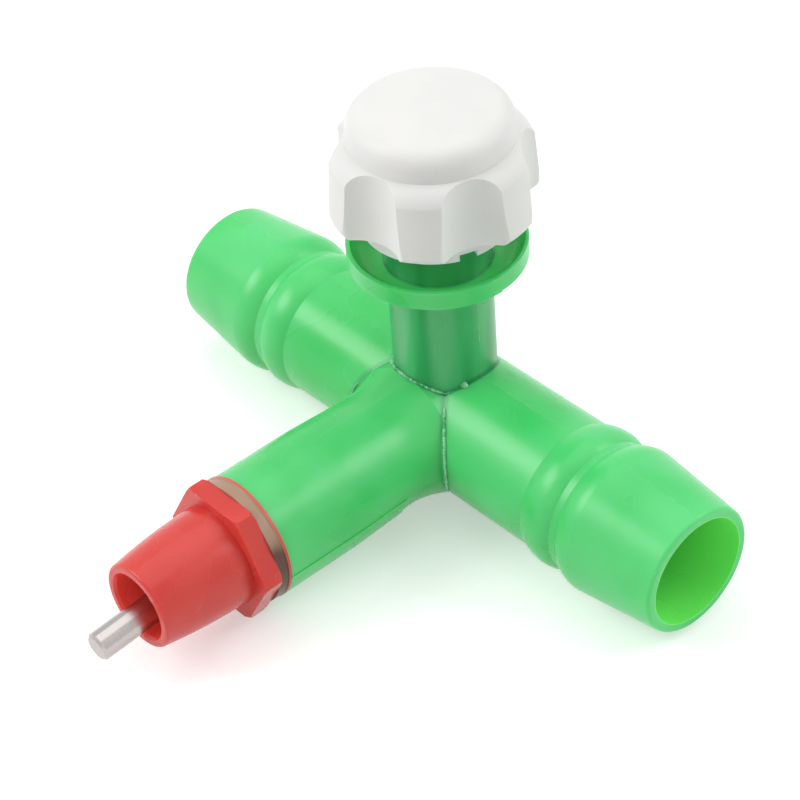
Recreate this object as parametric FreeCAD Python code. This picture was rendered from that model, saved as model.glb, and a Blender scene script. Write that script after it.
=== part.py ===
import FreeCAD, Part
import math
import os
from FreeCAD import Vector

# Poultry nipple drinker on a hose tee, in millimetres.
# The origin is where the three tubes' axes cross. The run lies along X with a hose barb at
# each end, the arm points along -Y and carries the screwed-in nipple, and the neck rises
# along +Z under the hand knob. A "station" is a distance from the origin along a tube's axis.

# ---- run: the tube that the two hoses push onto ----
run_half_length = 39.0
run_bore_radius = 6.5
end_core_length = 19.0         # depth of the full bore from each hose end
core_step = 0.25               # the bore's middle is this much narrower in radius
run_wall = 1.5
lip_wall = 1.15                # wall at the hose end
lip_round = 0.45
barb_height = 0.87             # crest of the barb over the tube
barb_length = 13.7             # hose end back to the foot of the barb's shoulder
shoulder_length = 2.8          # foot to crest
shoulder_bulge = 0.28
groove_length = 0.9            # between the barb and the stop bead
bead_length = 4.4
bead_rise_length = 2.5         # from the bead's inner foot to its crest
bead_height = 0.6
bead_bulge = 0.16              # how far each side bows out of a straight slope

# ---- arm: the tube that holds the nipple ----
arm_length = 30.2
arm_wall = 1.5                 # round the nipple's socket
arm_waist = 0.28               # how much slimmer the arm is next to the run
arm_flare_height = 0.1         # the arm spreads to this much over the run's radius
arm_flare_length = 7.0
arm_flare_hollow = 0.49
arm_swell_start = 13.0         # where the waist ends
arm_swell_length = 6.5
socket_radius = 5.9            # receives the nipple's shank
socket_spare = 0.8             # room past the shank's inner end
passage_radius = 4.2           # water way between the socket and the run's wall
end_wall = 0.9                 # wall left between that passage and the run's bore
ledge_height = 0.14            # how far the lower mould half stands proud
ledge_drop = 1.45              # the mould line lies this far under the arm's axis

# ---- neck, its saucer and the snap bead for the knob ----
neck_bore_radius = 4.6
neck_wall = 1.32
neck_top = 33.0
saucer_radius = 10.15
saucer_gap = 2.6               # from the saucer's rim up to the knob's skirt
saucer_rim_height = 2.1
saucer_rim_width = 0.5
saucer_depth = 2.3             # floor of the dish below its rim
saucer_hollow = 0.7            # how far the dish's side bows below a straight slope
saucer_floor_width = 0.9       # flat floor round the neck
saucer_wall = 1.3
mould_step = 0.14              # the saucer's far half is this much smaller
snap_bead_rise = 0.53
snap_bead_height = 1.6
snap_bead_below_top = 1.2

# ---- valve seat pillar inside the run ----
port_radius = 1.6
pillar_wall = 1.5
pillar_top = 1.2
duct_height = -2.3             # height of the duct from the port to the arm
duct_wall = 1.1
seat_rim_width = 0.5
seat_rim_height = 0.35

# ---- spindle: keyed plunger that closes the seat ----
lift = 2.4                     # how far it stands above the seat at rest
thread_pitch = 2.0             # rise for one turn of the knob
valve_washer_height = 1.3
valve_washer_lap = 0.65        # how far the washer covers the seat's rim
valve_washer_chamfer = 0.33
foot_rim = 0.5                 # rim round the washer
foot_height = 5.0
thread_radius = 2.75
thread_reach = 9.6             # from the knob's foot up to the screw's end
key_width = 1.5
key_height = 0.55
key_length = 5.0
groove_below_top = 4.7         # from the plunger's top down to its O-ring groove
ring_section = 1.5

# ---- knob: heights are over the foot of its skirt ----
knob_overlap = 6.0             # how far the skirt reaches down the neck
knob_radius = 11.7             # over the lobes, at their foot
knob_draft = 0.5               # the lobes are this much slimmer at their top
cap_radius = 9.2
cap_round = 2.2
cap_crown = 0.35               # the top rises this much to its middle
shoulder_crown = 0.3           # how far the lobes' shoulders bow out
knob_height = 14.9
cap_foot_height = 11.1         # where the lobes' shoulders meet the round cap
lobe_top_height = 9.3
lobe_foot_height = 2.3
lobe_foot_round = 0.8
lobe_count = 6
lobe_phase = 10.0              # degrees from +X to the first lobe's middle
scallop_radius = 5.1
scallop_depth = 2.3
lobe_edge_round = 0.7
skirt_wall = 1.55
snap_lip_height = 1.0          # foot of the inner snap lip
skirt_slot_width = 2.1
skirt_slot_height = 0.8
skirt_slot_phase = -18.0       # degrees from +X
hub_drop = 1.0                 # the hub reaches this far below the skirt
cap_wall = 2.2                 # top wall over the hollow round the hub
rib_count = 6
rib_width = 1.2
core_wall = 1.2                # wall round the hollow in each lobe
core_depth = 5.0

# ---- nipple ----
hex_across_flats = 14.3
hex_height = 2.4
hex_chamfer = 0.35
sealing_ring_height = 1.7
sealing_ring_radius = 7.4
sealing_lip = 0.13
sealing_lip_height = 0.35
shank_wall = 1.5
nozzle_base_radius = 6.05
nozzle_lip_radius = 4.95
nozzle_length = 11.3
nozzle_swell = 0.22            # how far the nozzle's side bows out of a straight cone
mouth_radius = 3.98
mouth_floor_radius = 3.5
mouth_lip_round = 0.4
seat_web = 0.9                 # web in front of the seat bush
retainer_height = 1.5
retainer_hole_radius = 1.5
retainer_slot_width = 1.3
retainer_slot_reach = 3.6
retainer_spokes = 3

# ---- what moves in the nipple ----
pin_radius = 1.67
pin_overhang = 5.9             # free end beyond the nozzle's mouth, with the pin in line
pin_tip_chamfer = 0.3
pivot_depth = 4.9              # middle of the pin's round head, behind the hexagon
pin_head_radius = 3.3
push_travel = 1.2              # how far the pin can be pushed in
ball_radius = 2.9
seat_bush_height = 3.4
seat_land = 1.0                # plain hole in front of the seat's cone
gasket_height = 0.8

# ---- clearances ----
running_gap = 0.05             # shafts in their bores
seat_gap = 0.05                # between a moving face and its stop
thread_gap = 0.05              # between mating threads, drawn as plain cylinders
key_gap = 0.1
piston_gap = 0.1               # plunger in the neck's bore
hub_gap = 0.2                  # knob's hub in the neck's bore
hub_clearance = 0.8            # from the plunger's top up to the knob's hub
snap_gap = 0.3                 # knob's skirt round the neck's bead
snap_lip_gap = 0.15            # knob's snap lip round the neck
gasket_gap = 0.2               # gasket's hole round the pin's hole
pin_play = 0.58                # room round the pin in its hole, which lets it tilt
head_play = 0.55               # room round the pin's head
retainer_gap = 0.15            # between the retainer and the ball at the end of its travel

# ---- sizes that follow ----
run_radius = run_bore_radius + run_wall
lip_radius = run_bore_radius + lip_wall
barb_radius = run_radius + barb_height
bead_radius = run_radius + bead_height
arm_radius = socket_radius + arm_wall
arm_root_radius = arm_radius - arm_waist
arm_flare_radius = run_radius + arm_flare_height
neck_radius = neck_bore_radius + neck_wall
snap_bead_radius = neck_radius + snap_bead_rise
pillar_radius = port_radius + pillar_wall

skirt_foot = neck_top - knob_overlap
saucer_rim_top = skirt_foot - saucer_gap
lobe_foot = skirt_foot + lobe_foot_height
lobe_top = skirt_foot + lobe_top_height
cap_foot = skirt_foot + cap_foot_height
knob_top = skirt_foot + knob_height
skirt_bore_radius = snap_bead_radius + snap_gap
skirt_radius = skirt_bore_radius + skirt_wall
hub_foot = skirt_foot - hub_drop
hub_radius = neck_bore_radius - hub_gap

valve_washer_radius = port_radius + seat_rim_width + valve_washer_lap
foot_radius = valve_washer_radius + foot_rim
piston_radius = neck_bore_radius - piston_gap
piston_top = hub_foot - hub_clearance
groove_station = piston_top - groove_below_top
spindle_top = skirt_foot + thread_reach
spindle_foot = pillar_top + seat_gap + lift
washer_top = spindle_foot + valve_washer_height
piston_foot = washer_top + foot_height

hex_foot = arm_length + sealing_ring_height
hex_top = hex_foot + hex_height
mouth_station = hex_top + nozzle_length
shank_radius = socket_radius - thread_gap
chamber_radius = shank_radius - shank_wall
pin_hole_radius = pin_radius + pin_play
head_bore_radius = pin_head_radius + head_play
pin_tip = mouth_station + pin_overhang
pin_pivot = hex_foot - pivot_depth
pin_head_touch = pin_head_radius * math.sqrt(0.5)      # the seat's cone leans 45 degrees
seat_hole_start = pin_pivot + 2 * pin_head_touch + seat_gap - pin_hole_radius
bush_front = seat_hole_start + seat_land
web_start = bush_front + gasket_height
web_end = web_start + seat_web
pin_reach = web_end - pin_pivot + push_travel          # pivot to the hole's far edge, pin pushed in
droop = math.degrees(math.atan((pin_hole_radius - running_gap - pin_radius) / pin_reach))
ball_station = pin_pivot - pin_head_radius - seat_gap - ball_radius
retainer_top = ball_station - ball_radius - push_travel - retainer_gap
shank_foot = retainer_top - retainer_height
socket_start = shank_foot - socket_spare

RUN = Vector(1, 0, 0)
ARM = Vector(0, -1, 0)
NECK = Vector(0, 0, 1)
ORIGIN = Vector(0, 0, 0)
HALF_TURN = 180.0
FULL_TURN = 360.0
BEYOND = 1.0                   # how far a cutter runs past the face it opens
SUNK = 0.5                     # how far a fused piece reaches into its neighbour
QUARTER_BOW = 1 - math.sqrt(0.5)    # a quarter circle's middle lies this share of its radius off the chord


def radial(axis):
    """Direction in which a profile's radius is drawn."""
    return Vector(1, 0, 0) if axis == NECK else Vector(0, 0, 1)


def turned(axis, start, *moves):
    """Solid of revolution from (station, radius) points.

    A move is a point for a straight line, or a pair of points for an arc that passes
    through the first and ends at the second.
    """
    out = radial(axis)

    def place(point):
        return axis * point[0] + out * point[1]

    edges = []
    here = start
    for move in moves + (start,):
        if isinstance(move[0], tuple):
            edges.append(Part.Arc(place(here), place(move[0]), place(move[1])).toShape())
            here = move[1]
        elif move != here:
            edges.append(Part.LineSegment(place(here), place(move)).toShape())
            here = move
    solid = Part.Solid(Part.Face(Part.Wire(edges)).revolve(ORIGIN, axis, FULL_TURN).Shells[0])
    if solid.Volume < 0:
        solid.reverse()
    return solid


def rod(axis, radius, first, last):
    """Plain cylinder between two stations of an axis."""
    return Part.makeCylinder(radius, last - first, axis * first, axis)


def ring(axis, outer, inner, first, last):
    return rod(axis, outer, first, last).cut(rod(axis, inner, first - BEYOND, last + BEYOND))


def box(x_range, y_range, z_range):
    size = [high - low for low, high in (x_range, y_range, z_range)]
    return Part.makeBox(*size, Vector(x_range[0], y_range[0], z_range[0]))


def spun(shape, degrees):
    """Copy turned about the neck's axis."""
    copy = shape.copy()
    copy.rotate(ORIGIN, NECK, degrees)
    return copy


def bow(first, last, height):
    """Middle point of an arc that stands `height` off the chord between two profile points."""
    ds, dr = last[0] - first[0], last[1] - first[1]
    span = math.hypot(ds, dr)
    return ((first[0] + last[0]) / 2 - height * dr / span, (first[1] + last[1]) / 2 + height * ds / span)


def crown(edge, top):
    """Middle point of a spherical crown's arc, from its edge up to its top on the axis."""
    radius = (edge[1] ** 2 + (top - edge[0]) ** 2) / (2 * (top - edge[0]))
    half = math.asin(edge[1] / radius) / 2
    return (top - radius + radius * math.cos(half), radius * math.sin(half))


# ---------------------------------------------------------------- body
def half_run():
    """One side of the run, from the middle to the hose end, with its bead and barb."""
    foot = run_half_length - barb_length
    crest = foot + shoulder_length
    bead_end = foot - groove_length
    bead_start = bead_end - bead_length
    bead_foot, bead_crest = (bead_start, run_radius), (bead_start + bead_rise_length, bead_radius)
    groove_edge = (bead_end, run_radius)
    lip_start = (run_half_length - lip_round, lip_radius)
    lip_end = (run_half_length, lip_radius - lip_round)
    shoulder_bow = bow((foot, run_radius), (crest, barb_radius), shoulder_bulge)
    return turned(
        RUN, (0, 0), (0, run_radius), bead_foot, (bow(bead_foot, bead_crest, bead_bulge), bead_crest),
        (bow(bead_crest, groove_edge, bead_bulge), groove_edge),
        (foot, run_radius), (shoulder_bow, (crest, barb_radius)), lip_start,
        (bow(lip_start, lip_end, QUARTER_BOW * lip_round), lip_end), (run_half_length, 0))


def run_bore():
    """Water way along the run, a little narrower in the middle."""
    step_start = run_half_length - end_core_length
    middle = run_bore_radius - core_step
    end = run_half_length + BEYOND
    half = turned(RUN, (0, 0), (0, middle), (step_start - core_step, middle),
                  (step_start, run_bore_radius), (end, run_bore_radius), (end, 0))
    return half.fuse(half.mirror(ORIGIN, RUN))


def arm_tube():
    swell_end = arm_swell_start + arm_swell_length
    flare = (arm_swell_start - arm_flare_length, arm_flare_radius)
    root = (arm_swell_start, arm_root_radius)
    upper = turned(ARM, (0, 0), (0, arm_flare_radius), flare, (bow(flare, root, -arm_flare_hollow), root),
                   (swell_end, arm_radius), (arm_length, arm_radius), (arm_length, 0))
    proud = arm_radius + ledge_height
    lower = turned(ARM, (arm_swell_start, 0), (arm_swell_start, arm_root_radius),
                   (arm_swell_start + ledge_height, arm_root_radius + ledge_height),
                   (swell_end, proud), (arm_length, proud), (arm_length, 0))
    wide = 2 * proud
    below = box((-wide, wide), (-arm_length - BEYOND, 0), (-wide, -ledge_drop))
    return upper.fuse(lower.common(below))


def neck_tube():
    """Neck with its dished saucer and the snap bead, bored later."""
    floor = saucer_rim_top - saucer_depth
    rim_foot = saucer_rim_top - saucer_rim_height
    underside = floor - saucer_wall
    bead_top = neck_top - snap_bead_below_top
    bead_foot = bead_top - snap_bead_height
    bead_rise = snap_bead_radius - neck_radius
    dish_start = (saucer_rim_top, saucer_radius - saucer_rim_width)
    dish_end = (floor, neck_radius + saucer_floor_width)
    underside_end = (rim_foot, saucer_radius)

    def profile(shrink):
        return turned(
            NECK, (0, 0), (0, neck_radius), (underside, neck_radius),
            (underside_end[0], underside_end[1] - shrink),
            (saucer_rim_top, saucer_radius - shrink), dish_start,
            (bow(dish_start, dish_end, -saucer_hollow), dish_end), (floor, neck_radius),
            (bead_foot, neck_radius), (bead_foot + bead_rise, snap_bead_radius),
            (bead_top - bead_rise, snap_bead_radius), (bead_top, neck_radius),
            (neck_top, neck_radius), (neck_top, 0))

    wide = 2 * saucer_radius
    near = box((-wide, wide), (-wide, 0), (-BEYOND, neck_top + BEYOND))
    far = box((-wide, wide), (0, wide), (-BEYOND, neck_top + BEYOND))
    return profile(0.0).common(near).fuse(profile(mould_step).common(far))


def seat_pillar():
    """Pillar in the run's bore: its top is the valve's seat, its duct leads to the arm."""
    post = rod(NECK, pillar_radius, -run_radius, pillar_top - seat_rim_height)
    rim = rod(NECK, port_radius + seat_rim_width, pillar_top - seat_rim_height, pillar_top)
    half_width = port_radius + duct_wall
    bridge = box((-half_width, half_width), (-run_radius, 0), (-run_radius, duct_height + half_width))
    bore = rod(RUN, (run_radius + run_bore_radius) / 2, -run_bore_radius, run_bore_radius)
    return post.fuse([rim, bridge]).common(bore)


def make_body():
    right = half_run()
    left = right.mirror(ORIGIN, RUN)
    solid = right.fuse([left, arm_tube(), neck_tube()])
    solid = solid.cut(run_bore())
    passage_start = run_bore_radius + end_wall
    solid = solid.cut(rod(ARM, passage_radius, passage_start, socket_start + BEYOND))
    solid = solid.cut(rod(ARM, socket_radius, socket_start, arm_length + BEYOND))
    solid = solid.cut(rod(NECK, neck_bore_radius, 0, neck_top + BEYOND))
    keyway_half = key_width / 2 + key_gap
    keyway_depth = piston_radius + key_height + key_gap
    keyway_top = piston_foot + key_length + key_gap
    solid = solid.cut(box((-keyway_half, keyway_half), (0, keyway_depth), (0, keyway_top)))
    solid = solid.fuse(seat_pillar())
    solid = solid.cut(rod(NECK, port_radius, duct_height, pillar_top + BEYOND))
    duct = Part.makeCylinder(port_radius, passage_start + BEYOND, Vector(0, 0, duct_height), ARM)
    duct_end = Part.makeSphere(port_radius, Vector(0, 0, duct_height))
    return solid.cut(duct.fuse(duct_end))


# ---------------------------------------------------------------- valve
def make_spindle():
    groove_radius = neck_bore_radius - ring_section
    groove_top = groove_station + ring_section + 2 * running_gap
    thread_depth = thread_pitch / 2
    solid = turned(
        NECK, (washer_top, 0), (washer_top, foot_radius), (piston_foot, foot_radius),
        (piston_foot, piston_radius), (groove_station, piston_radius), (groove_station, groove_radius),
        (groove_top, groove_radius), (groove_top, piston_radius), (piston_top, piston_radius),
        (piston_top, thread_radius), (spindle_top - thread_depth, thread_radius),
        (spindle_top, thread_radius - thread_depth), (spindle_top, 0))
    rim_foot = washer_top - valve_washer_height / 2
    rim = ring(NECK, foot_radius, valve_washer_radius, rim_foot, washer_top + SUNK)
    key = box((-key_width / 2, key_width / 2), (0, piston_radius + key_height),
              (piston_foot, piston_foot + key_length))
    return solid.fuse([rim, key])


def make_valve_washer():
    face_radius = valve_washer_radius - valve_washer_chamfer
    return turned(NECK, (spindle_foot, 0), (spindle_foot, face_radius),
                  (spindle_foot + valve_washer_chamfer, valve_washer_radius),
                  (washer_top, valve_washer_radius), (washer_top, 0))


def o_ring(axis, middle_radius, section_radius, station):
    """Round-section ring about an axis."""
    return Part.makeTorus(middle_radius, section_radius, axis * station, axis)


def make_spindle_ring():
    section = (ring_section - running_gap) / 2
    middle = neck_bore_radius - ring_section / 2 - running_gap / 2
    return o_ring(NECK, middle, section, groove_station + running_gap + ring_section / 2)


# ---------------------------------------------------------------- knob
def lobed_ring():
    """Six-lobed grip: a coned drum with scallops cut between the lobes."""
    foot_round = (lobe_foot + lobe_foot_round, knob_radius)
    foot_in = (lobe_foot, knob_radius - lobe_foot_round)
    shoulder = (lobe_top, knob_radius - knob_draft)
    cap_edge = (cap_foot, cap_radius)
    drum = turned(NECK, (lobe_foot, 0), foot_in,
                  (bow(foot_in, foot_round, QUARTER_BOW * lobe_foot_round), foot_round),
                  shoulder, (bow(shoulder, cap_edge, shoulder_crown), cap_edge), (cap_foot, 0))
    prism = Part.makeCylinder(knob_radius, cap_foot - lobe_foot + 2 * BEYOND,
                              Vector(0, 0, lobe_foot - BEYOND))
    step = FULL_TURN / lobe_count
    reach = knob_radius - scallop_depth + scallop_radius
    cutter = Part.makeCylinder(scallop_radius, cap_foot - lobe_foot + 4 * BEYOND,
                               Vector(reach, 0, lobe_foot - 2 * BEYOND))
    scallops = [spun(cutter, lobe_phase + step * (index + 0.5)) for index in range(lobe_count)]
    prism = prism.cut(scallops)
    upright = [edge for edge in prism.Edges if is_upright(edge)]
    return drum.common(prism.makeFillet(lobe_edge_round, upright))


def is_upright(edge):
    """True for an edge that runs along the neck's axis."""
    start, end = edge.Vertexes[0].Point, edge.Vertexes[-1].Point
    return abs(end.z - start.z) > BEYOND


def lobe_hollows():
    """Hollows that keep the lobes' walls even, open underneath."""
    top = lobe_foot + core_depth
    step = FULL_TURN / lobe_count
    reach = knob_radius - scallop_depth + scallop_radius
    band = ring(NECK, knob_radius - knob_draft - core_wall, skirt_radius, lobe_foot - BEYOND, top)
    wall = Part.makeCylinder(scallop_radius + core_wall, core_depth + 4 * BEYOND,
                             Vector(reach, 0, lobe_foot - 2 * BEYOND))
    return band.cut([spun(wall, lobe_phase + step * (index + 0.5)) for index in range(lobe_count)])


def make_knob():
    cap_edge = (knob_top - cap_crown - cap_round, cap_radius)
    cap_flat = (knob_top - cap_crown, cap_radius - cap_round)
    cap = turned(NECK, (skirt_foot, 0), (skirt_foot, skirt_radius), (lobe_foot, skirt_radius),
                 (lobe_foot, cap_radius), cap_edge,
                 (bow(cap_edge, cap_flat, QUARTER_BOW * cap_round), cap_flat),
                 (crown(cap_flat, knob_top), (knob_top, 0)))
    solid = cap.fuse(lobed_ring())
    lip_foot = skirt_foot + snap_lip_height
    lip_top = neck_top - snap_bead_below_top - snap_bead_height - 2 * seat_gap
    lip_radius_inside = neck_radius + snap_lip_gap
    ceiling = knob_top - cap_crown - cap_wall
    cavity = turned(NECK, (skirt_foot - BEYOND, 0), (skirt_foot - BEYOND, skirt_bore_radius),
                    (skirt_foot + snap_lip_height / 2, skirt_bore_radius),
                    (lip_foot, lip_radius_inside), (lip_top, lip_radius_inside),
                    (lip_top, skirt_bore_radius), (ceiling, skirt_bore_radius), (ceiling, 0))
    hub = rod(NECK, hub_radius, hub_foot, ceiling + BEYOND)
    screw_top = spindle_top + thread_pitch / 2
    screw_hole = rod(NECK, thread_radius + thread_gap, hub_foot - BEYOND, screw_top)
    slot = box((0, skirt_radius + BEYOND), (-skirt_slot_width / 2, skirt_slot_width / 2),
               (skirt_foot - BEYOND, skirt_foot + skirt_slot_height))
    slots = [spun(slot, skirt_slot_phase), spun(slot, skirt_slot_phase + HALF_TURN)]
    rib = box((0, skirt_bore_radius + SUNK), (-rib_width / 2, rib_width / 2),
              (neck_top + seat_gap, ceiling + SUNK))
    ribs = [spun(rib, lobe_phase + index * FULL_TURN / rib_count) for index in range(rib_count)]
    solid = solid.cut([cavity, lobe_hollows()] + slots)
    return solid.fuse([hub] + ribs).cut(screw_hole)


# ---------------------------------------------------------------- nipple
def make_nipple_shell():
    """Hexagon, threaded shank and barrel-sided nozzle, moulded in one."""
    corner = hex_across_flats / math.sqrt(3)
    points = [Vector(corner * math.cos(math.radians(60 * index)), -hex_foot,
                     corner * math.sin(math.radians(60 * index))) for index in range(6)]
    prism = Part.Face(Part.makePolygon(points + points[:1])).extrude(ARM * hex_height)
    bevel = turned(ARM, (hex_foot, 0), (hex_foot, corner - hex_chamfer),
                   (hex_foot + hex_chamfer, corner), (hex_top - hex_chamfer, corner),
                   (hex_top, corner - hex_chamfer), (hex_top, 0))
    hexagon = prism.common(bevel)
    base = (hex_top - SUNK, nozzle_base_radius)
    lip_start = (mouth_station - mouth_lip_round, nozzle_lip_radius + mouth_lip_round / 2)
    lip_end = (mouth_station, nozzle_lip_radius - mouth_lip_round / 2)
    nozzle = turned(ARM, (base[0], 0), base, (bow(base, lip_start, nozzle_swell), lip_start),
                    (bow(lip_start, lip_end, QUARTER_BOW * mouth_lip_round), lip_end), (mouth_station, 0))
    shank = turned(ARM, (shank_foot, 0), (shank_foot, shank_radius - hex_chamfer),
                   (shank_foot + hex_chamfer, shank_radius), (hex_foot + SUNK, shank_radius),
                   (hex_foot + SUNK, 0))
    solid = hexagon.fuse([nozzle, shank])
    lip_foot = mouth_station - mouth_lip_round
    mouth = turned(ARM, (web_end, 0), (web_end, mouth_floor_radius), (lip_foot, mouth_radius),
                   (mouth_station, mouth_radius + mouth_lip_round / 2),
                   (mouth_station + BEYOND, mouth_radius), (mouth_station + BEYOND, 0))
    chamber = rod(ARM, chamber_radius, shank_foot - BEYOND, web_start)
    return solid.cut([mouth, chamber, rod(ARM, pin_hole_radius, web_start - BEYOND, web_end + BEYOND)])


def make_sealing_ring():
    lip_end = arm_length + sealing_lip_height
    proud = sealing_ring_radius + sealing_lip
    bore = shank_radius + thread_gap
    return turned(ARM, (arm_length, bore), (arm_length, proud), (lip_end, proud),
                  (lip_end + sealing_lip, sealing_ring_radius), (hex_foot, sealing_ring_radius),
                  (hex_foot, bore))


def make_seat_bush():
    """Steel bush whose 45-degree cone is the seat of the pin's round head."""
    outer = chamber_radius - seat_gap / 2
    cone_start = seat_hole_start - (head_bore_radius - pin_hole_radius)
    seat_foot = bush_front - seat_bush_height
    return turned(ARM, (seat_foot, head_bore_radius), (seat_foot, outer), (bush_front, outer),
                  (bush_front, pin_hole_radius), (seat_hole_start, pin_hole_radius),
                  (cone_start, head_bore_radius))


def make_seat_gasket():
    return ring(ARM, chamber_radius - seat_gap / 2, pin_hole_radius + gasket_gap, bush_front, web_start)


def make_trigger_pin():
    """Straight pin with a round head, hanging at its rest droop."""
    straight = turned(ARM, (pin_pivot, 0), (pin_pivot, pin_radius), (pin_tip - pin_tip_chamfer, pin_radius),
                      (pin_tip, pin_radius - pin_tip_chamfer), (pin_tip, 0))
    head = Part.makeSphere(pin_head_radius, ARM * pin_pivot)
    pin = straight.fuse(head)
    pin.rotate(ARM * pin_pivot, Vector(1, 0, 0), droop)
    return pin


def make_ball():
    return Part.makeSphere(ball_radius, ARM * ball_station)


def make_retainer():
    """Pressed-in stop that keeps the ball in and lets the water through."""
    outer = chamber_radius - seat_gap / 2
    disc = ring(ARM, outer, retainer_hole_radius, shank_foot, retainer_top)
    half = retainer_slot_width / 2
    slot = box((0, retainer_slot_reach), (-retainer_top - BEYOND, BEYOND - shank_foot), (-half, half))
    slots = []
    for index in range(retainer_spokes):
        copy = slot.copy()
        copy.rotate(ORIGIN, ARM, index * FULL_TURN / retainer_spokes)
        slots.append(copy)
    return disc.cut(slots)


PIECES = {
    "body": make_body,
    "knob": make_knob,
    "spindle": make_spindle,
    "spindle_ring": make_spindle_ring,
    "valve_washer": make_valve_washer,
    "nipple_shell": make_nipple_shell,
    "sealing_ring": make_sealing_ring,
    "seat_bush": make_seat_bush,
    "seat_gasket": make_seat_gasket,
    "trigger_pin": make_trigger_pin,
    "valve_ball": make_ball,
    "ball_retainer": make_retainer,
}

os.makedirs("parts", exist_ok=True)
for name, make in PIECES.items():
    shape = make()
    shape = shape.removeSplitter() if name != "knob" else shape
    print(f"{name}: {len(shape.Solids)} solid, {shape.Volume:.2f} mm3, valid {shape.isValid()}")
    shape.exportStep(f"parts/{name}.step")
print(f"pin droop {droop:.3f} degrees about station {pin_pivot}; ball at station {ball_station:.3f}")
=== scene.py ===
import math

import bpy
import numpy as np
from mathutils import Matrix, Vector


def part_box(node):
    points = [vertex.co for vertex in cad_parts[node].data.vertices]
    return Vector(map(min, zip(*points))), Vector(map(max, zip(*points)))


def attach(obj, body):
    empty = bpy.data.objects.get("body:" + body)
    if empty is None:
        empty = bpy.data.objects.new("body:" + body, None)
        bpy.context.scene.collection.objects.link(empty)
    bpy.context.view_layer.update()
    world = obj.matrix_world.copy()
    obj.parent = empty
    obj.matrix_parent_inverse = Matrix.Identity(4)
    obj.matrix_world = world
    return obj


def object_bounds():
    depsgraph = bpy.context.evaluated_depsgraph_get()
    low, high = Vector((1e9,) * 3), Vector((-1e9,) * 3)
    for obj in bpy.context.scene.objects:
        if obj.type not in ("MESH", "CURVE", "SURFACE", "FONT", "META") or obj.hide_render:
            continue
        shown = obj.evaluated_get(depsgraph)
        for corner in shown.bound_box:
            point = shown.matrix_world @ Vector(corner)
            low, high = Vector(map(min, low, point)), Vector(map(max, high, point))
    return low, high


# A hose tee for a poultry water line: green polyethylene body, white hand knob, red screw-in
# nipple and steel trigger pin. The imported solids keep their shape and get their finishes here.
# The mould marks, the flash along the joints between the tubes and the studio are made here too.
# The run lies along X, the arm points along -Y and the neck rises along +Z.

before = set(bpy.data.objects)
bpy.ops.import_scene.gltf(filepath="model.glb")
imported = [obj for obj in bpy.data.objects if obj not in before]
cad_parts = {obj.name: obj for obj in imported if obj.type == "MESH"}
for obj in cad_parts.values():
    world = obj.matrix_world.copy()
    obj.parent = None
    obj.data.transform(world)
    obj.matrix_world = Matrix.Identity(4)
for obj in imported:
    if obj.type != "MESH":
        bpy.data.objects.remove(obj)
cad_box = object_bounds()

MM = 0.001

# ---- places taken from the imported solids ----
_, body_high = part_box("body")
shell_low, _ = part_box("nipple_shell")
_, ring_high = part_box("sealing_ring")

HOSE_BORE_LENGTH = 19.0 * MM
core_start = body_high.x - HOSE_BORE_LENGTH     # station along X where the hose bores begin
arm_end = -ring_high.y                          # station of the arm's open end along -Y
nozzle_mouth = -shell_low.y

# ---- sizes, as in the solids ----
RUN_RADIUS = 8.0 * MM
RUN_BORE_RADIUS = 6.5 * MM
ARM_FLARE_RADIUS = 8.1 * MM
NECK_RADIUS = 5.92 * MM
NOZZLE_BORE_RADIUS = 4.2 * MM
RED_LIP = 0.35 * MM             # the seal's lip that shows the shell's red
WITHIN = 0.08 * MM              # how far past a wall's surface its mask reaches

# ---- colours, linear ----
GREEN = (0.052, 0.62, 0.14)
GREEN_PALE = (0.11, 0.70, 0.22)
GREEN_NECK_SHADE = (0.034, 0.38, 0.115)
GREEN_NECK_REFLECTION = (0.085, 0.52, 0.19)
GREEN_CREASE_SHADE = (0.012, 0.26, 0.10)
GREEN_LIT_THROUGH = (0.14, 0.64, 0.11)
GREEN_MARK = (0.6, 0.85, 0.6)
GREEN_GLOW = (0.035, 0.20, 0.03)
FLASH_DARK = (0.04, 0.42, 0.13)
FLASH_PALE = (0.42, 0.82, 0.55)
RED = (0.68, 0.045, 0.034)
RED_PALE = (0.74, 0.075, 0.06)
RED_GLOW = (0.20, 0.014, 0.010)
RED_DUST = (0.9, 0.75, 0.72)
WHITE = (0.80, 0.80, 0.785)
WHITE_WARM = (0.83, 0.825, 0.80)
STEEL = (0.44, 0.41, 0.40)
STEEL_BRIGHT = (0.50, 0.47, 0.455)
TAN_TOP_LIGHT = (0.42, 0.27, 0.18)
SMOKE = (0.11, 0.045, 0.025)
GREY_UNDER_REFLECTION = (0.36, 0.29, 0.25)
RUBBER = (0.022, 0.022, 0.022)
RUBBER_WORN = (0.035, 0.035, 0.035)
BLACK = (0.0, 0.0, 0.0)


# ---------------------------------------------------------------- node helpers
def socket(tree, value, target):
    """Feeds a node's input with a constant or with another node's output."""
    if isinstance(value, bpy.types.NodeSocket):
        tree.links.new(value, target)
    else:
        target.default_value = value


def node(tree, kind, *values, **settings):
    """New node of a kind, its inputs fed in order. A value of None leaves an input as it is."""
    made = tree.nodes.new(kind)
    for name, setting in settings.items():
        setattr(made, name, setting)
    for value, target in zip(values, made.inputs):
        if value is not None:
            socket(tree, value, target)
    return made


def maths(tree, operation, *values, clamp=False):
    return node(tree, "ShaderNodeMath", *values, operation=operation, use_clamp=clamp).outputs[0]


def radius_of(tree, first, second):
    """Distance from the axis that lies across two coordinates."""
    square = maths(tree, "ADD", maths(tree, "MULTIPLY", first, first),
                   maths(tree, "MULTIPLY", second, second))
    return maths(tree, "SQRT", square)


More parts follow.
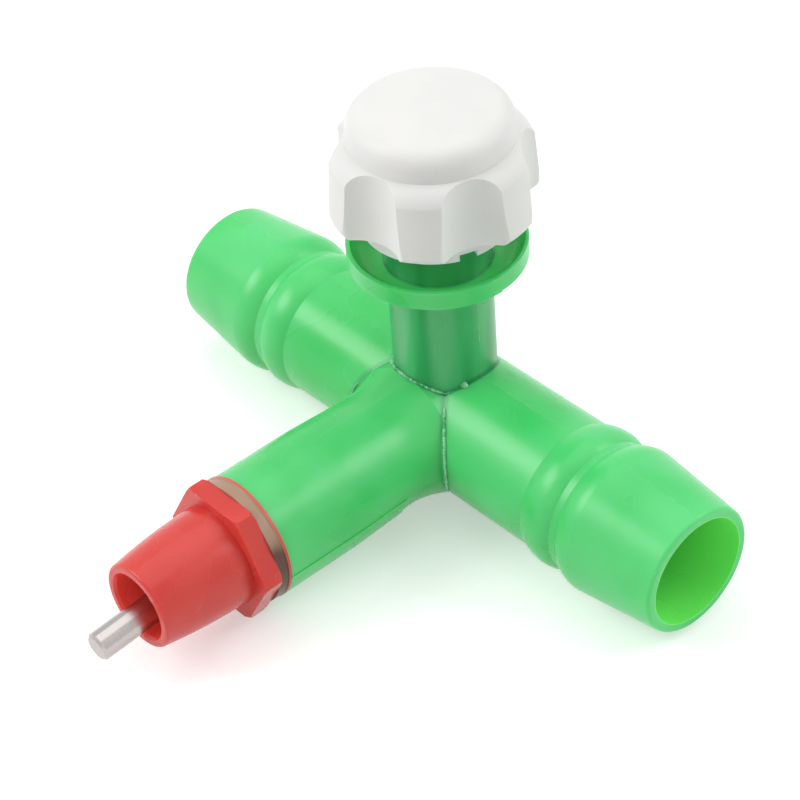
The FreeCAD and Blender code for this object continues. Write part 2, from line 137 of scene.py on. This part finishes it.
def blend_colour(tree, factor, first, second):
    """Colour between two colours by a factor from 0 to 1."""
    mix = node(tree, "ShaderNodeMix", data_type="RGBA")
    socket(tree, factor, mix.inputs["Factor"])
    for value, target in ((first, mix.inputs[6]), (second, mix.inputs[7])):
        socket(tree, (*value, 1.0) if isinstance(value, tuple) else value, target)
    return mix.outputs[2]


def stretch(tree, value, low, high):
    """Maps low..high to 0..1 smoothly and holds it there outside."""
    ranged = node(tree, "ShaderNodeMapRange", value, low, high, 0.0, 1.0,
                  interpolation_type="SMOOTHSTEP")
    return ranged.outputs[0]


def new_group(name, inputs, outputs):
    """Empty node group: inputs are (name, kind, default), outputs are (name, kind)."""
    tree = bpy.data.node_groups.new(name, "ShaderNodeTree")
    for label, kind, default in inputs:
        made = tree.interface.new_socket(label, in_out="INPUT", socket_type=kind)
        if default is not None:
            made.default_value = default
    for label, kind in outputs:
        tree.interface.new_socket(label, in_out="OUTPUT", socket_type=kind)
    return tree, tree.nodes.new("NodeGroupInput"), tree.nodes.new("NodeGroupOutput")


def place(tree, group, *values):
    """Group node in a material, its inputs fed in order."""
    made = tree.nodes.new("ShaderNodeGroup")
    made.node_tree = group
    for value, target in zip(values, made.inputs):
        if value is not None:
            socket(tree, value, target)
    return made


# ---------------------------------------------------------------- shared effects
def make_tone_drift():
    """Slow change of shade in moulded plastic: two octaves of soft noise, as a mask from 0 to 1."""
    tree, source, result = new_group(
        "tone_drift", [("Vector", "NodeSocketVector", None), ("Size", "NodeSocketFloat", 0.02)],
        [("Mask", "NodeSocketFloat")])
    scale = maths(tree, "DIVIDE", 1.0, source.outputs["Size"])
    noise = node(tree, "ShaderNodeTexNoise", source.outputs["Vector"], None, scale, 2.0, 0.5)
    tree.links.new(stretch(tree, noise.outputs[0], 0.3, 0.7), result.inputs["Mask"])
    return tree


def make_skin():
    """Moulded skin: slow waviness with a fine grain on it, as a height from 0 to 1."""
    tree, source, result = new_group(
        "moulded_skin", [("Vector", "NodeSocketVector", None), ("Wave Size", "NodeSocketFloat", 0.004),
                         ("Grain Size", "NodeSocketFloat", 0.0002),
                         ("Grain Share", "NodeSocketFloat", 0.2)],
        [("Height", "NodeSocketFloat")])
    vector = source.outputs["Vector"]
    wave_scale = maths(tree, "DIVIDE", 1.0, source.outputs["Wave Size"])
    grain_scale = maths(tree, "DIVIDE", 1.0, source.outputs["Grain Size"])
    wave = node(tree, "ShaderNodeTexNoise", vector, None, wave_scale, 1.0, 0.5)
    grain = node(tree, "ShaderNodeTexNoise", vector, None, grain_scale, 3.0, 0.6)
    share = maths(tree, "MULTIPLY", grain.outputs[0], source.outputs["Grain Share"])
    tree.links.new(maths(tree, "ADD", wave.outputs[0], share), result.inputs["Height"])
    return tree


def make_specks():
    """Sparse small specks: the cells of a Voronoi pattern whose random value is high enough each
    show a dot round their own point, whose size varies with that value."""
    tree, source, result = new_group(
        "specks", [("Vector", "NodeSocketVector", None), ("Spacing", "NodeSocketFloat", 0.002),
                   ("Dot", "NodeSocketFloat", 0.06), ("Share", "NodeSocketFloat", 0.2)],
        [("Mask", "NodeSocketFloat")])
    scale = maths(tree, "DIVIDE", 1.0, source.outputs["Spacing"])
    cells = node(tree, "ShaderNodeTexVoronoi", source.outputs["Vector"], None, scale)
    chance = node(tree, "ShaderNodeSeparateColor", cells.outputs["Color"]).outputs[0]
    picked = maths(tree, "LESS_THAN", chance, source.outputs["Share"])
    share = maths(tree, "DIVIDE", cells.outputs["Distance"], source.outputs["Dot"])
    near = maths(tree, "SUBTRACT", 1.0, share, clamp=True)
    sharp = maths(tree, "MULTIPLY", near, 3.0, clamp=True)
    tree.links.new(maths(tree, "MULTIPLY", sharp, picked), result.inputs["Mask"])
    return tree


def make_inside():
    """Mask of a bore's wall: 1 where the distance from an axis, given by the two coordinates
    across it, is less than a radius, and where a station along it is past a start."""
    tree, source, result = new_group(
        "inside_bore", [("Across", "NodeSocketFloat", 0.0), ("Up", "NodeSocketFloat", 0.0),
                        ("Station", "NodeSocketFloat", 0.0), ("Radius", "NodeSocketFloat", 0.006),
                        ("Start", "NodeSocketFloat", 0.0)],
        [("Mask", "NodeSocketFloat"), ("Depth", "NodeSocketFloat")])
    distance = radius_of(tree, source.outputs["Across"], source.outputs["Up"])
    within = maths(tree, "LESS_THAN", distance, source.outputs["Radius"])
    past = maths(tree, "SUBTRACT", source.outputs["Station"], source.outputs["Start"])
    reached = maths(tree, "GREATER_THAN", past, 0.0)
    tree.links.new(maths(tree, "MULTIPLY", within, reached), result.inputs["Mask"])
    tree.links.new(past, result.inputs["Depth"])
    return tree


def make_seam():
    """Parting line of the mould: a narrow ridge where a coordinate passes through zero, broken
    up by noise along its length."""
    tree, source, result = new_group(
        "seam", [("Vector", "NodeSocketVector", None), ("Distance", "NodeSocketFloat", 0.0),
                 ("Half Width", "NodeSocketFloat", 0.0001), ("Break", "NodeSocketFloat", 0.5)],
        [("Mask", "NodeSocketFloat")])
    off = maths(tree, "ABSOLUTE", source.outputs["Distance"])
    share = maths(tree, "DIVIDE", off, source.outputs["Half Width"])
    ridge = maths(tree, "SUBTRACT", 1.0, share, clamp=True)
    along = node(tree, "ShaderNodeTexNoise", source.outputs["Vector"], None, 700.0, 2.0)
    gap = stretch(tree, along.outputs[0], maths(tree, "SUBTRACT", source.outputs["Break"], 0.1),
                  maths(tree, "ADD", source.outputs["Break"], 0.1))
    tree.links.new(maths(tree, "MULTIPLY", ridge, gap), result.inputs["Mask"])
    return tree


TONE_DRIFT = make_tone_drift()
SKIN = make_skin()
SPECKS = make_specks()
INSIDE = make_inside()
SEAM = make_seam()


def closeness(tree, value, target, reach):
    """1 where a value equals a target, falling to 0 at a reach from it."""
    off = maths(tree, "ABSOLUTE", maths(tree, "SUBTRACT", value, target))
    return maths(tree, "SUBTRACT", 1.0, maths(tree, "DIVIDE", off, reach), clamp=True)


def joint_crease_shade(tree, along, across, up):
    """Mask of painted shade in the creases between the tubes: near the run's surface and near the
    arm's or the neck's at once, on the arm's side of the run."""
    near_run = closeness(tree, radius_of(tree, across, up), RUN_RADIUS, 0.75 * MM)
    near_arm = closeness(tree, radius_of(tree, along, up), ARM_FLARE_RADIUS, 0.75 * MM)
    near_neck = closeness(tree, radius_of(tree, along, across), NECK_RADIUS, 0.5 * MM)
    front = stretch(tree, across, 0.0, -1.0 * MM)
    mitre = maths(tree, "MULTIPLY", maths(tree, "MULTIPLY", near_run, near_arm), front)
    foot = maths(tree, "MULTIPLY", near_neck, maths(tree, "MAXIMUM", near_run, near_arm))
    foot = maths(tree, "MULTIPLY", foot, stretch(tree, up, 3 * MM, 4 * MM))
    return stretch(tree, maths(tree, "MAXIMUM", mitre, foot), 0.15, 0.85)


# ---------------------------------------------------------------- materials
def new_material(name, **constants):
    """Material with a Principled shader whose constant sockets are set here."""
    made = bpy.data.materials.new(name)
    made.use_nodes = True
    tree = made.node_tree
    shader = tree.nodes["Principled BSDF"]
    for label, value in constants.items():
        shader.inputs[label.replace("_", " ")].default_value = value
    coordinates = tree.nodes.new("ShaderNodeTexCoord").outputs["Object"]
    return made, tree, shader, coordinates


def raise_bump(tree, shader, height, distance, under=None):
    """Bump on a shader, optionally over another bump's normal."""
    bump = node(tree, "ShaderNodeBump", 1.0, distance)
    tree.links.new(height, bump.inputs["Height"])
    if under is not None:
        tree.links.new(under, bump.inputs["Normal"])
    tree.links.new(bump.outputs[0], shader.inputs["Normal"])
    return bump.outputs[0]


def green_polyethylene():
    """Glossy, slightly translucent green plastic: painted shade and painted vertical reflection
    streaks on the neck, painted shade in the creases between the tubes, a warm tint and a glow
    inside the hose bores painted as light shining through the wall, with a broken parting line,
    specks and short hairline scratches."""
    made, tree, shader, here = new_material(
        "green_polyethylene", Subsurface_Weight=0.5, Subsurface_Radius=(0.35, 1.0, 0.3),
        Subsurface_Scale=2.6 * MM, IOR=1.45, Emission_Strength=1.0)
    split = node(tree, "ShaderNodeSeparateXYZ", here)
    along, across, up = split.outputs
    drift = place(tree, TONE_DRIFT, here, 12 * MM)
    colour = blend_colour(tree, drift.outputs[0], GREEN, GREEN_PALE)
    # Painted shade and painted reflections on the neck: a darker green with vertical streaks standing
    # in for the surroundings reflected in it.
    near_axis = maths(tree, "LESS_THAN", radius_of(tree, along, across), NECK_RADIUS + 0.3 * MM)
    on_neck = maths(tree, "MULTIPLY", near_axis, stretch(tree, up, 5 * MM, 7.5 * MM))
    upright = node(tree, "ShaderNodeMapping", here, None, None, (1.0, 1.0, 0.06))
    reflection_streaks = node(tree, "ShaderNodeTexNoise", upright.outputs[0], None, 330.0, 1.0)
    neck = blend_colour(tree, stretch(tree, reflection_streaks.outputs[0], 0.35, 0.65), GREEN_NECK_SHADE, GREEN_NECK_REFLECTION)
    colour = blend_colour(tree, on_neck, colour, neck)
    # Painted shade darkens the creases between the tubes.
    crease_shade = maths(tree, "MULTIPLY", joint_crease_shade(tree, along, across, up), 0.4)
    colour = blend_colour(tree, crease_shade, colour, GREEN_CREASE_SHADE)
    reach = maths(tree, "ABSOLUTE", along)
    # Painted light: the bore's wall gets a warmer tint and a glow deeper in, standing in for light
    # shining through the thin wall.
    bore = place(tree, INSIDE, across, up, reach, RUN_BORE_RADIUS + WITHIN, core_start)
    colour = blend_colour(tree, bore.outputs[0], colour, GREEN_LIT_THROUGH)
    depth = stretch(tree, bore.outputs[1], 4 * MM, HOSE_BORE_LENGTH)
    shine_through = maths(tree, "MULTIPLY", bore.outputs[0], depth)
    glow = blend_colour(tree, shine_through, BLACK, GREEN_GLOW)
    tree.links.new(glow, shader.inputs["Emission Color"])
    seam = place(tree, SEAM, here, across, 0.08 * MM, 0.56)
    upper = stretch(tree, up, 6.9 * MM, 7.1 * MM)
    line = maths(tree, "MULTIPLY", seam.outputs[0], upper)
    specks = place(tree, SPECKS, here, 2.2 * MM, 0.045, 0.12)
    lengthwise = node(tree, "ShaderNodeMapping", here, None, (0.3, 0.2, 0.35), (0.10, 1.0, 1.0))
    scratches = place(tree, SPECKS, lengthwise.outputs[0], 1.6 * MM, 0.05, 0.10)
    marks = maths(tree, "MAXIMUM", maths(tree, "MULTIPLY", specks.outputs[0], 0.3),
                  maths(tree, "MULTIPLY", scratches.outputs[0], 0.25))
    marks = maths(tree, "MAXIMUM", marks, maths(tree, "MULTIPLY", line, 0.2))
    colour = blend_colour(tree, marks, colour, GREEN_MARK)
    tree.links.new(colour, shader.inputs["Base Color"])
    rough = maths(tree, "ADD", 0.25, maths(tree, "MULTIPLY", drift.outputs[0], 0.08))
    tree.links.new(rough, shader.inputs["Roughness"])
    skin = place(tree, SKIN, here, 5 * MM, 0.25 * MM, 0.03)
    first = raise_bump(tree, shader, skin.outputs[0], 0.022 * MM)
    raise_bump(tree, shader, line, 0.05 * MM, under=first)
    return made


def red_plastic():
    """Glossy red plastic with a painted glow inside the nozzle's thin mouth, standing in for light
    shining through its wall, with dust specks.
    """
    made, tree, shader, here = new_material(
        "red_plastic", Subsurface_Weight=0.3, Subsurface_Radius=(1.0, 0.2, 0.15),
        Subsurface_Scale=1.4 * MM, IOR=1.46, Emission_Strength=1.0)
    split = node(tree, "ShaderNodeSeparateXYZ", here)
    along, across, up = split.outputs
    station = maths(tree, "MULTIPLY", across, -1.0)
    drift = place(tree, TONE_DRIFT, here, 6 * MM)
    colour = blend_colour(tree, maths(tree, "MULTIPLY", drift.outputs[0], 0.5), RED, RED_PALE)
    # Painted light: emission inside the mouth stands in for light shining through its thin wall.
    mouth = place(tree, INSIDE, along, up, station, NOZZLE_BORE_RADIUS, nozzle_mouth - 9 * MM)
    depth = stretch(tree, mouth.outputs[1], 2 * MM, 9 * MM)
    shine_through = maths(tree, "MULTIPLY", mouth.outputs[0], depth)
    glow = blend_colour(tree, shine_through, BLACK, RED_GLOW)
    tree.links.new(glow, shader.inputs["Emission Color"])
    specks = place(tree, SPECKS, here, 0.9 * MM, 0.07, 0.08)
    dusty = stretch(tree, station, nozzle_mouth - 7.5 * MM, nozzle_mouth - 10.5 * MM)
    thickness = maths(tree, "ADD", 0.25, maths(tree, "MULTIPLY", dusty, 0.6))
    dust = maths(tree, "MULTIPLY", specks.outputs[0], thickness)
    colour = blend_colour(tree, dust, colour, RED_DUST)
    tree.links.new(colour, shader.inputs["Base Color"])
    rough = maths(tree, "ADD", 0.22, maths(tree, "MULTIPLY", drift.outputs[0], 0.08))
    tree.links.new(rough, shader.inputs["Roughness"])
    skin = place(tree, SKIN, here, 3 * MM, 0.2 * MM, 0.05)
    raise_bump(tree, shader, skin.outputs[0], 0.012 * MM)
    return made


def white_plastic():
    """Satin white plastic of the knob."""
    made, tree, shader, here = new_material(
        "white_plastic", Subsurface_Weight=0.2, Subsurface_Radius=(1.0, 0.95, 0.9),
        Subsurface_Scale=1.2 * MM, IOR=1.48)
    drift = place(tree, TONE_DRIFT, here, 8 * MM)
    colour = blend_colour(tree, drift.outputs[0], WHITE, WHITE_WARM)
    tree.links.new(colour, shader.inputs["Base Color"])
    rough = maths(tree, "ADD", 0.46, maths(tree, "MULTIPLY", drift.outputs[0], 0.06))
    tree.links.new(rough, shader.inputs["Roughness"])
    skin = place(tree, SKIN, here, 4 * MM, 0.15 * MM, 0.08)
    raise_bump(tree, shader, skin.outputs[0], 0.05 * MM)
    return made


def turned_steel():
    """Polished stainless steel with fine marks from turning along the arm's axis."""
    made, tree, shader, here = new_material("turned_steel", Metallic=1.0)
    stretched = node(tree, "ShaderNodeMapping", here, None, None, (1.0, 9.0, 1.0))
    marks = node(tree, "ShaderNodeTexNoise", stretched.outputs[0], None, 600.0, 2.0, 0.5)
    colour = blend_colour(tree, marks.outputs[0], STEEL, STEEL_BRIGHT)
    tree.links.new(colour, shader.inputs["Base Color"])
    rough = maths(tree, "ADD", 0.2, maths(tree, "MULTIPLY", marks.outputs[0], 0.05))
    tree.links.new(rough, shader.inputs["Roughness"])
    raise_bump(tree, shader, marks.outputs[0], 0.0007 * MM)
    return made


def smoky_seal():
    """Soft seal with painted light and reflection graded by height: tan painted as light on top,
    smoky brown at its side and a greyish painted reflection below, with a thin lip painted with
    the shell's red as if seen through the seal next to the arm."""
    made, tree, shader, here = new_material(
        "smoky_seal", Subsurface_Weight=0.2, Subsurface_Radius=(1.0, 0.5, 0.3),
        Subsurface_Scale=0.6 * MM, IOR=1.45, Roughness=0.34)
    split = node(tree, "ShaderNodeSeparateXYZ", here)
    station = maths(tree, "MULTIPLY", split.outputs["Y"], -1.0)
    up = split.outputs["Z"]
    drift = place(tree, TONE_DRIFT, here, 5 * MM)
    # Painted light and reflection, graded by height: tan painted as light on top, a greyish painted
    # reflection below, smoky brown between.
    shifted = maths(tree, "ADD", up, maths(tree, "MULTIPLY", drift.outputs[0], 1.5 * MM))
    colour = blend_colour(tree, stretch(tree, shifted, -5.5 * MM, -2.0 * MM), GREY_UNDER_REFLECTION, SMOKE)
    colour = blend_colour(tree, stretch(tree, shifted, 2.5 * MM, 5.5 * MM), colour, TAN_TOP_LIGHT)
    # Painted see-through: a band next to the arm takes the shell's red as if seen through the seal.
    lip = maths(tree, "LESS_THAN", station, arm_end + RED_LIP)
    colour = blend_colour(tree, maths(tree, "MULTIPLY", lip, 0.8), colour, RED_PALE)
    tree.links.new(colour, shader.inputs["Base Color"])
    skin = place(tree, SKIN, here, 2 * MM, 0.2 * MM, 0.1)
    raise_bump(tree, shader, skin.outputs[0], 0.04 * MM)
    return made


def black_rubber():
    made, tree, shader, here = new_material("black_rubber", IOR=1.5)
    drift = place(tree, TONE_DRIFT, here, 3 * MM)
    colour = blend_colour(tree, drift.outputs[0], RUBBER, RUBBER_WORN)
    tree.links.new(colour, shader.inputs["Base Color"])
    rough = maths(tree, "ADD", 0.55, maths(tree, "MULTIPLY", drift.outputs[0], 0.1))
    tree.links.new(rough, shader.inputs["Roughness"])
    skin = place(tree, SKIN, here, 1 * MM, 0.1 * MM, 0.3)
    raise_bump(tree, shader, skin.outputs[0], 0.02 * MM)
    return made


def dress(names, material):
    """Gives CAD nodes their finish."""
    for name in names:
        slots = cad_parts[name].data.materials
        slots.clear()
        slots.append(material)


dress(["body"], green_polyethylene())
dress(["nipple_shell"], red_plastic())
dress(["knob", "spindle", "ball_retainer"], white_plastic())
dress(["trigger_pin", "valve_ball", "seat_bush"], turned_steel())
dress(["sealing_ring"], smoky_seal())
dress(["spindle_ring", "valve_washer", "seat_gasket"], black_rubber())


# ---------------------------------------------------------------- moulding marks
SECTION_SIDES = 14
RAGGED_SHARE = 0.765            # how much the ridges' height varies along them
RAGGED_WAVES = (7.0, 17.0, 41.0)    # waves of the three sines along a ridge
END_SHARPNESS = 14              # the larger, the later a ridge draws in at its ends
STUB_RINGS, STUB_SIDES = 12, 18
TAIL_REACH = 1.1                # how far the stub's tail reaches, in its radii


def swept_ridge(name, path, outward, half_width, height, seed):
    """Ragged ridge along a path. Each section across it is an ellipse, half width by height, whose
    lower half is sunk in the surface, and the height is scaled along the path by the mean of three
    sines of random phase. Both ends draw in steeply to a closed pole."""
    rng = np.random.default_rng(seed)
    stations = np.linspace(0.0, 1.0, len(path))
    phases = rng.uniform(0.0, 2 * np.pi, len(RAGGED_WAVES))[:, None]
    waves = phases + np.array(RAGGED_WAVES)[:, None] * 2 * np.pi * stations
    ragged = 1.0 + RAGGED_SHARE * np.sin(waves).mean(axis=0)
    ends = np.sqrt(np.clip(1.0 - np.abs(2 * stations - 1.0) ** END_SHARPNESS, 0.0, 1.0))
    along = np.gradient(path, axis=0)
    along /= np.linalg.norm(along, axis=1)[:, None]
    outward = outward - (outward * along).sum(axis=1)[:, None] * along
    outward /= np.linalg.norm(outward, axis=1)[:, None]
    across = np.cross(along, outward)
    turns = np.arange(SECTION_SIDES) * 2 * np.pi / SECTION_SIDES
    wide = half_width * np.cos(turns)[None, :] * ends[:, None]
    high = height * np.sin(turns)[None, :] * (ends * ragged)[:, None]
    inner = slice(1, -1)
    rings = (path[inner, None] + across[inner, None] * wide[inner, :, None]
             + outward[inner, None] * high[inner, :, None])
    count = rings.shape[0]
    points = np.concatenate([rings.reshape(-1, 3), path[[0, -1]]])
    side = np.arange(SECTION_SIDES)
    after = (side + 1) % SECTION_SIDES
    ring_starts = np.arange(count - 1)[:, None] * SECTION_SIDES
    lower, beside = (ring_starts + side).ravel(), (ring_starts + after).ravel()
    walls = np.stack([lower, beside, beside + SECTION_SIDES, lower + SECTION_SIDES], axis=1)
    last = (count - 1) * SECTION_SIDES
    first_pole, last_pole = len(points) - 2, len(points) - 1
    start = np.stack([after, side, np.full(SECTION_SIDES, first_pole)], axis=1)
    end = np.stack([side + last, after + last, np.full(SECTION_SIDES, last_pole)], axis=1)
    faces = walls.tolist() + start.tolist() + end.tolist()
    return finished_piece(name, points, faces)


def finished_piece(name, points, faces):
    """Object from points and faces, smooth, with its faces turned outward. The sign of the
    enclosed volume, summed over fans of the faces, says which way they look."""
    fans = np.array([(face[0], face[k], face[k + 1])
                     for face in faces for k in range(1, len(face) - 1)])
    first, second, third = (points[fans[:, k]] for k in range(3))
    volume = np.einsum("ij,ij->", first, np.cross(second, third))
    if volume < 0:
        faces = [face[::-1] for face in faces]
    mesh = bpy.data.meshes.new(name)
    mesh.from_pydata(points.tolist(), [], faces)
    mesh.polygons.foreach_set("use_smooth", np.ones(len(faces), dtype=bool))
    made = bpy.data.objects.new(name, mesh)
    bpy.context.scene.collection.objects.link(made)
    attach(made, "fitting")
    return made


def neck_joint_path(start, end, samples):
    """Where the neck's round foot meets the arm and the run: x = r cos t, y = r sin t about the
    neck's axis, at the height where that point lies on the arm or on the run, whichever is higher."""
    turn = np.radians(np.linspace(start, end, samples))
    x, y = NECK_RADIUS * np.cos(turn), NECK_RADIUS * np.sin(turn)
    on_arm = np.sqrt(np.clip(ARM_FLARE_RADIUS ** 2 - x ** 2, 0.0, None))
    on_run = np.sqrt(RUN_RADIUS ** 2 - y ** 2)
    path = np.stack([x, y, np.maximum(on_arm, on_run)], axis=1)
    out = np.stack([np.cos(turn), np.sin(turn), np.full_like(turn, 1.0)], axis=1)
    return path, out


def mitre_path(side, start, end, samples):
    """Where the arm's flare meets the run: at angle t from the crown, the arm's x = r sin t and
    z = r cos t, and y is where that height lies on the run."""
    turn = np.radians(np.linspace(start, end, samples))
    x, z = side * ARM_FLARE_RADIUS * np.sin(turn), ARM_FLARE_RADIUS * np.cos(turn)
    y = -np.sqrt(np.clip(RUN_RADIUS ** 2 - z ** 2, 0.0, None))
    path = np.stack([x, y, z], axis=1)
    out = np.stack([side * np.sin(turn), -np.ones(samples), 0.6 * np.cos(turn)], axis=1)
    return path, out


def gate_stub(name, centre, radius, tail):
    """Trimmed gate: a ball whose radius is scaled by two sines round its girth so that it is
    uneven, and grows with the cube of the cosine to the direction `tail` to draw out a tail."""
    rings, sides = STUB_RINGS, STUB_SIDES
    polar = np.linspace(0.0, np.pi, rings + 2)[1:-1]
    turn = np.arange(sides) * 2 * np.pi / sides
    p, t = np.meshgrid(polar, turn, indexing="ij")
    rays = np.stack([np.sin(p) * np.cos(t), np.sin(p) * np.sin(t), np.cos(p)], axis=2)
    uneven = 1.0 + (0.12 * np.sin(3 * t + 1.0) + 0.08 * np.sin(5 * t)) * np.sin(p)
    drawn = np.clip(rays @ np.array(tail), 0.0, 1.0) ** 3
    body = rays * (radius * uneven * (1.0 + TAIL_REACH * drawn))[:, :, None]
    poles = np.array([(0.0, 0.0, radius), (0.0, 0.0, -radius)])
    points = np.concatenate([body.reshape(-1, 3), poles]) + np.array(centre)
    index = np.arange(rings * sides).reshape(rings, sides)
    nxt = np.roll(index, -1, axis=1)
    walls = np.stack([index[:-1], nxt[:-1], nxt[1:], index[1:]], axis=2).reshape(-1, 4)
    top, bottom = rings * sides, rings * sides + 1
    upper = np.stack([nxt[0], index[0], np.full(sides, top)], axis=1)
    lower = np.stack([index[-1], nxt[-1], np.full(sides, bottom)], axis=1)
    return finished_piece(name, points, walls.tolist() + upper.tolist() + lower.tolist())


def make_moulding_marks(material):
    """Flash along the joints between the tubes, and the stub of the gate beside the neck."""
    marks = [
        swept_ridge("neck_flash", *neck_joint_path(-143, -38, 260), 0.20 * MM, 0.30 * MM, 3),
        swept_ridge("neck_flash_inner", *neck_joint_path(-100, -52, 160), 0.30 * MM, 0.12 * MM, 8),
        swept_ridge("mitre_flash_right", *mitre_path(1, 40, 122, 300), 0.20 * MM, 0.26 * MM, 5),
        swept_ridge("mitre_flash_left", *mitre_path(-1, 62, 118, 220), 0.16 * MM, 0.18 * MM, 6),
        gate_stub("gate_stub", (5.55 * MM, -2.25 * MM, 7.75 * MM), 0.46 * MM, (-0.75, 0.3, -0.4)),
    ]
    for mark in marks:
        mark.data.materials.append(material)


def pale_flash():
    """Thin flash of the green plastic, paler and glossier than the walls behind it."""
    made, tree, shader, here = new_material(
        "pale_flash", Subsurface_Weight=0.5, Subsurface_Radius=(0.35, 1.0, 0.4),
        Subsurface_Scale=1.0 * MM, IOR=1.5)
    drift = place(tree, TONE_DRIFT, here, 1.2 * MM)
    colour = blend_colour(tree, drift.outputs[0], FLASH_DARK, FLASH_PALE)
    tree.links.new(colour, shader.inputs["Base Color"])
    rough = maths(tree, "ADD", 0.2, maths(tree, "MULTIPLY", drift.outputs[0], 0.12))
    tree.links.new(rough, shader.inputs["Roughness"])
    return made


make_moulding_marks(pale_flash())


# ---------------------------------------------------------------- studio
FLOOR_SIZE = 4.0
FLOOR_GLOW = 0.42               # lifts the floor's shade without lighting the object
FILL_LEVEL = 0.45               # plain level of the light from all round
LIGHT_DISTANCE = 0.9
CAMERA_AZIMUTH = 50.69          # degrees from -Y towards +X
CAMERA_ELEVATION = 40.41
CAMERA_ROLL = -4.51
CAMERA_DISTANCE = 319.31 * MM
CAMERA_TARGET = (-8.67 * MM, 0.0, -4.21 * MM)
CAMERA_LENS = 121.8             # on a 36 mm sensor


def seen_directly(tree):
    """1 for camera, glossy and transmission rays, 0 for diffuse ones."""
    path = tree.nodes.new("ShaderNodeLightPath")
    shine = maths(tree, "MAXIMUM", path.outputs["Is Camera Ray"], path.outputs["Is Glossy Ray"])
    return maths(tree, "MAXIMUM", shine, path.outputs["Is Transmission Ray"])


def make_world():
    """White to the camera and in reflections, a plain soft level for the light itself."""
    world = bpy.data.worlds.new("studio")
    world.use_nodes = True
    tree = world.node_tree
    background = tree.nodes["Background"]
    background.inputs["Color"].default_value = (1.0, 1.0, 1.0, 1.0)
    level = node(tree, "ShaderNodeMapRange", seen_directly(tree), 0.0, 1.0, FILL_LEVEL, 1.0)
    tree.links.new(level.outputs[0], background.inputs["Strength"])
    bpy.context.scene.world = world


def make_floor():
    """Pale floor that keeps the object's shadow and otherwise reads as white."""
    half = FLOOR_SIZE / 2
    level = cad_box[0].z
    corners = [(-half, -half, level), (half, -half, level), (half, half, level), (-half, half, level)]
    mesh = bpy.data.meshes.new("floor")
    mesh.from_pydata(corners, [], [(0, 1, 2, 3)])
    floor = bpy.data.objects.new("floor", mesh)
    bpy.context.scene.collection.objects.link(floor)
    made, tree, shader, _ = new_material("pale_floor", Roughness=0.9, Specular_IOR_Level=0.1)
    shader.inputs["Base Color"].default_value = (0.82, 0.82, 0.82, 1.0)
    glow = node(tree, "ShaderNodeEmission", (1.0, 1.0, 1.0, 1.0))
    strength = maths(tree, "MULTIPLY", seen_directly(tree), FLOOR_GLOW)
    tree.links.new(strength, glow.inputs["Strength"])
    both = node(tree, "ShaderNodeAddShader", shader.outputs[0], glow.outputs[0])
    tree.links.new(both.outputs[0], tree.nodes["Material Output"].inputs["Surface"])
    mesh.materials.append(made)


def direction(azimuth, elevation):
    """Unit vector towards a place seen from the object, in degrees from -Y towards +X."""
    a, e = math.radians(azimuth), math.radians(elevation)
    return np.array([math.sin(a) * math.cos(e), -math.cos(a) * math.cos(e), math.sin(e)])


def turn_towards(obj, back, roll=0.0):
    """Points an object's -Z axis against `back`, its X axis level, then rolls it about that axis."""
    right = np.cross((0.0, 0.0, 1.0), back)
    right /= np.linalg.norm(right)
    up = np.cross(back, right)
    r = math.radians(roll)
    turned_right = math.cos(r) * right + math.sin(r) * up
    turned_up = math.cos(r) * up - math.sin(r) * right
    matrix = np.eye(4)
    matrix[:3, 0], matrix[:3, 1], matrix[:3, 2] = turned_right, turned_up, back
    obj.rotation_mode = "QUATERNION"
    obj.rotation_quaternion = Matrix(matrix.tolist()).to_quaternion()


def make_softbox(name, azimuth, elevation, width, height, power):
    """Rectangular lamp that looks at the object from LIGHT_DISTANCE."""
    data = bpy.data.lights.new(name, "AREA")
    data.shape = "RECTANGLE"
    data.size, data.size_y = width, height
    data.energy = power
    light = bpy.data.objects.new(name, data)
    back = direction(azimuth, elevation)
    light.location = back * LIGHT_DISTANCE
    turn_towards(light, back)
    bpy.context.scene.collection.objects.link(light)


def make_camera():
    data = bpy.data.cameras.new("camera")
    data.lens = CAMERA_LENS
    data.sensor_width = 36.0
    data.clip_start, data.clip_end = 0.01, 20.0
    camera = bpy.data.objects.new("camera", data)
    back = direction(CAMERA_AZIMUTH, CAMERA_ELEVATION)
    camera.location = np.array(CAMERA_TARGET) + back * CAMERA_DISTANCE
    turn_towards(camera, back, CAMERA_ROLL)
    bpy.context.scene.collection.objects.link(camera)
    bpy.context.scene.camera = camera


make_world()
make_floor()
make_softbox("left_softbox", CAMERA_AZIMUTH - 92, 40, 0.5, 0.4, 3.6)
make_softbox("right_softbox", CAMERA_AZIMUTH + 92, 40, 0.5, 0.4, 2.6)
make_softbox("top_softbox", CAMERA_AZIMUTH + 170, 80, 0.8, 0.8, 1.8)
make_camera()
bpy.context.scene.view_settings.view_transform = "Standard"
